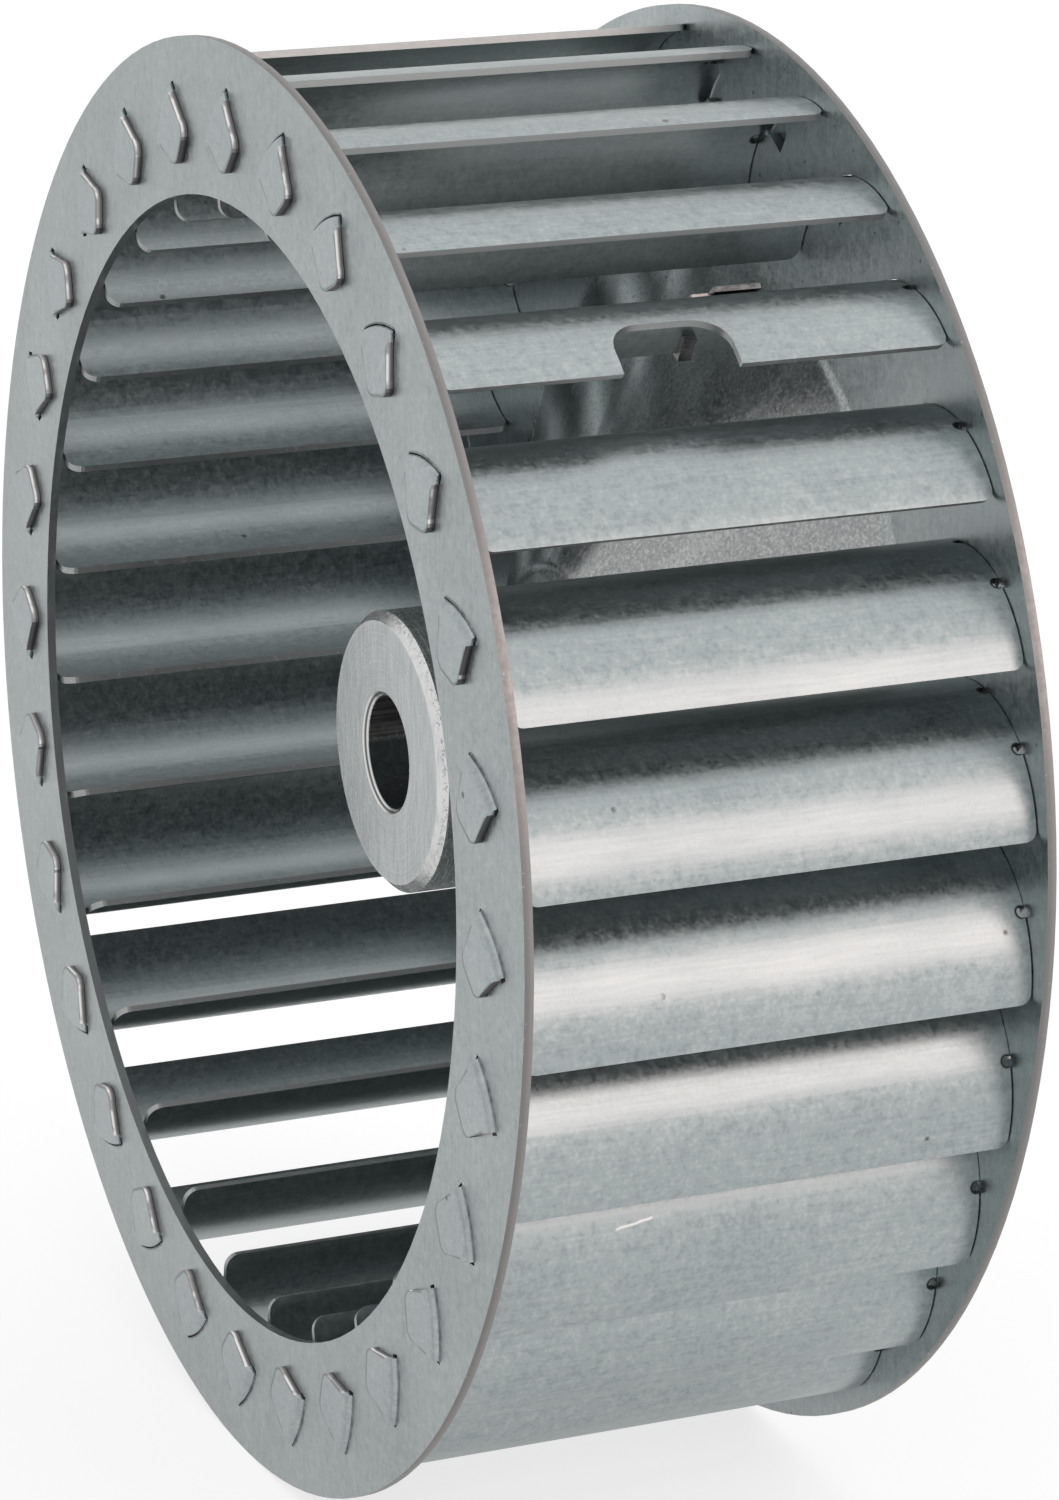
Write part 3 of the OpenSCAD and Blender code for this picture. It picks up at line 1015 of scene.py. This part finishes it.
@dataclass
class ThreadedScrew:
    """The set screw with a real thread, wound as a helix on a core, and its hexagon socket."""

    sizes: WheelSizes = SIZES
    lead: float = 1.0 * MM
    core_r: float = 2.5 * MM
    core_share: float = 0.2
    run_out: float = 0.4
    socket_r: float = 1.73 * MM
    socket_deep: float = 3.2 * MM
    steps: int = 40
    sides: int = 48

    def build(self, material: bpy.types.Material) -> bpy.types.Object:
        """Makes the screw along Z and stands it in its hole in the hub.

        Args:
            material: its finish.

        Returns:
            The piece.
        """
        s = self.sizes
        recipe = Recipe("set_screw_threaded")
        outer = recipe.size("Thread radius", s.screw_r)
        core = recipe.size("Core radius", self.core_r)
        length = recipe.size("Length", s.screw_len)
        lead = recipe.size("Lead", self.lead)
        whole = [self.core(recipe, outer, core, length), self.thread(recipe, outer, core, length, lead)]
        joined = recipe.node("GeometryNodeJoinGeometry", inputs={0: whole})
        piece = recipe.make(recipe.moved(joined, 0.0, 0.0, s.screw_tip), "set_screw_threaded", material)
        hole = Matrix.Translation((0, s.screw_y, 0)) @ Matrix.Rotation(math.pi / 2 - s.screw_turn, 4, "Y")
        piece.data.transform(hole)
        return piece

    def thread(self, recipe: Recipe, outer: Socket, core: Socket, length: Socket, lead: Socket) -> Socket:
        """The ridge of the thread.

        Args:
            recipe: the screw's tree.
            outer: radius of the thread's crest.
            core: radius of its root.
            length: length of the screw.
            lead: its rise in one turn.

        Returns:
            The ridge, which ends short of both ends of the screw.
        """
        middle = (outer + core) * 0.5
        free = 2 * self.run_out
        helix = recipe.node("GeometryNodeCurveSpiral", inputs={
            "Resolution": self.steps, "Rotations": length / lead - free, "Start Radius": middle,
            "End Radius": middle, "Height": length - lead * free})
        ridge = recipe.swept(helix, (outer - core) * 0.5, 4)
        return recipe.moved(ridge, 0.0, 0.0, lead * self.run_out)

    def core(self, recipe: Recipe, outer: Socket, core: Socket, length: Socket) -> Socket:
        """The core with its hexagon socket.

        Args:
            recipe: the screw's tree.
            outer: radius of the thread's crest.
            core: radius of its root.
            length: length of the screw.

        Returns:
            The core, from 0 to its length along Z.
        """
        rod = recipe.node("GeometryNodeMeshCylinder", inputs={
            "Vertices": self.sides, "Radius": core + (outer - core) * self.core_share, "Depth": length})
        key = recipe.node("GeometryNodeMeshCylinder", inputs={
            "Vertices": 6, "Radius": recipe.size("Socket radius", self.socket_r),
            "Depth": recipe.size("Socket depth", self.socket_deep * 2)})
        return recipe.node("GeometryNodeMeshBoolean", {"operation": "DIFFERENCE"}, {
            "Mesh 1": recipe.moved(rod, 0.0, 0.0, length * 0.5),
            "Mesh 2": recipe.moved(key, 0.0, 0.0, length)})


@dataclass
class Wheel:
    """The wheel: its solids get their finishes, and its small formed details are added."""

    nodes: dict[str, bpy.types.Object]
    sizes: WheelSizes = SIZES

    def dress(self) -> None:
        """Gives every solid its finish."""
        ring, disc = RingFinish(self.sizes).close(), DiscFinish(self.sizes).close()
        blade = BladeFinish(self.sizes).close()
        finishes = {"front_ring": ring, "back_disc": disc, "hub": TurnedHub(self.sizes).material,
                    "set_screw": BlackScrew().material, "balance_clip": SpringSteel().material}
        for name, solid in self.nodes.items():
            solid.data.materials.clear()
            solid.data.materials.append(finishes.get(name, blade))
            log.info("%s: %s", name, solid.data.materials[0].name)

    def detail(self) -> None:
        """Adds the slot lips and the threaded screw."""
        # The lips get the darker zinc as a painted shade of the slot gap.
        rolled = GalvanisedSheet("lips_painted_shade", Grain.UPRIGHT, LIP_SHADE_ZINC).close()
        for name, face in (("slot_lips_front", -self.sizes.half_w), ("slot_lips_back", self.sizes.half_w)):
            self.add(SlotLips(name, face, self.sizes).build(rolled), "galvanised_disc")
        screw = ThreadedScrew(self.sizes).build(self.nodes["set_screw"].data.materials[0])
        self.add(screw, "black_screw")
        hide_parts("set_screw")

    def add(self, piece: bpy.types.Object, slot: str) -> None:
        """Fixes a new piece to the wheel.

        Args:
            piece: the piece.
            slot: its material slot in the record; not used.
        """
        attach(piece, "root")
        log.info("%s: %d faces", piece.name, len(piece.data.polygons))


@dataclass(frozen=True)
class Softbox:
    """A large soft lamp that points at the wheel."""

    name: str
    toward: Direction
    distance: float
    size: float
    power: float
    colour: Colour

    def build(self) -> None:
        """Hangs the lamp."""
        lamp = bpy.data.lights.new(self.name, "AREA")
        lamp.shape = "SQUARE"
        lamp.size = self.size
        lamp.energy = self.power
        lamp.color = self.colour
        holder = bpy.data.objects.new(self.name, lamp)
        aim = Vector(self.toward).normalized()
        holder.location = aim * self.distance
        holder.rotation_euler = aim.to_track_quat("Z", "Y").to_euler()
        holder.visible_camera = False
        bpy.context.scene.collection.objects.link(holder)


@dataclass
class Studio:
    """White surroundings, a pale floor, soft lamps and the camera.

    What the camera sees of the floor is white in the seen share, and mirrored rays see it white in the mirror
    share. The rest of it is matt and takes the wheel's shadow.
    """

    floor_z: float = -SIZES.rim_r
    floor_half: float = 6.0
    floor_tone: float = 0.88
    level: float = 0.80
    overhead: float = 0.15
    overhead_from: float = 0.55
    overhead_full: float = 0.92
    seen_share: float = 0.6
    seen_white: float = 1.2
    mirror_share: float = 0.6
    mirror_white: float = 0.86
    picture: tuple[int, int] = (1059, 1500)
    focal_px: float = 5527.19
    sensor: float = 36.0
    clip_start: float = 0.01
    eye: Direction = (0.54557, -0.23148, 0.16888)
    right: Direction = (0.39935, 0.9168, 0.0)
    forward: Direction = (-0.8813, 0.3839, -0.2755)
    lamps: tuple[Softbox, ...] = (
        Softbox("key_softbox", (0.835, 0.384, 0.394), 1.1, 0.60, 1.6, (1.0, 0.80, 0.75)),
    )

    def build(self) -> None:
        """Makes the floor, the surroundings, the lamps and the camera."""
        bpy.context.scene.view_settings.view_transform = "Standard"
        self.surroundings()
        self.floor()
        for lamp in self.lamps:
            lamp.build()
        self.camera()

    def surroundings(self) -> None:
        """A plain white world, a little brighter overhead and pure white where the camera sees it."""
        world = bpy.data.worlds.new("white_studio")
        world.use_nodes = True
        world.node_tree.nodes.clear()
        sky = Tree(world.node_tree)
        seen = sky.node("ShaderNodeLightPath", out="Is Camera Ray")
        height = sky.split(sky.node("ShaderNodeTexCoord", out="Generated"))[2]
        ceiling = sky.step(height, self.overhead_from, self.overhead_full,
                           self.level, self.level + self.overhead)
        white = sky.node("ShaderNodeBackground", inputs={"Color": (1, 1, 1), "Strength": ceiling | seen})
        sky.node("ShaderNodeOutputWorld", inputs={0: white})
        bpy.context.scene.world = world

    def floor(self) -> None:
        """A matt pale floor that the camera sees as white, apart from the wheel's shadow."""
        half = self.floor_half
        corners = [(x * half, y * half, self.floor_z) for x, y in ((-1, -1), (1, -1), (1, 1), (-1, 1))]
        mesh = bpy.data.meshes.new("floor")
        mesh.from_pydata(corners, [], [(0, 1, 2, 3)])
        plane = bpy.data.objects.new("floor", mesh)
        bpy.context.scene.collection.objects.link(plane)
        finish = Finish("pale_floor")
        matt = finish.node("ShaderNodeBsdfDiffuse", inputs={"Color": (self.floor_tone,) * 3})
        seen = finish.node("ShaderNodeLightPath", out="Is Camera Ray")
        mirrored = finish.node("ShaderNodeLightPath", out="Is Glossy Ray")
        white = finish.node("ShaderNodeEmission",
                            inputs={"Strength": seen * self.seen_white + mirrored * self.mirror_white})
        share = seen * self.seen_share + mirrored * self.mirror_share
        both = finish.node("ShaderNodeMixShader", inputs={0: share, 1: matt, 2: white})
        finish.node("ShaderNodeOutputMaterial", inputs={0: both})
        mesh.materials.append(finish.material)

    def camera(self) -> None:
        """The camera at the photograph's place, with its picture height as the sensor's long side."""
        lens = bpy.data.cameras.new("camera")
        lens.sensor_width = self.sensor
        lens.lens = self.focal_px / self.picture[1] * self.sensor
        lens.clip_start = self.clip_start
        holder = bpy.data.objects.new("camera", lens)
        right = Vector(self.right).normalized()
        back = -Vector(self.forward).normalized()
        turn = Matrix((right, back.cross(right), back)).transposed()
        holder.matrix_world = Matrix.Translation(self.eye) @ turn.to_4x4()
        bpy.context.scene.collection.objects.link(holder)
        bpy.context.scene.camera = holder


def main() -> None:
    """Builds the wheel's looks and the studio, in order."""
    logging.basicConfig(level=logging.INFO, format="%(name)s %(message)s")
    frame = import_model()
    Studio().build()
    wheel = Wheel(frame["nodes"])
    wheel.dress()
    wheel.detail()


if __name__ == "__main__":
    main()
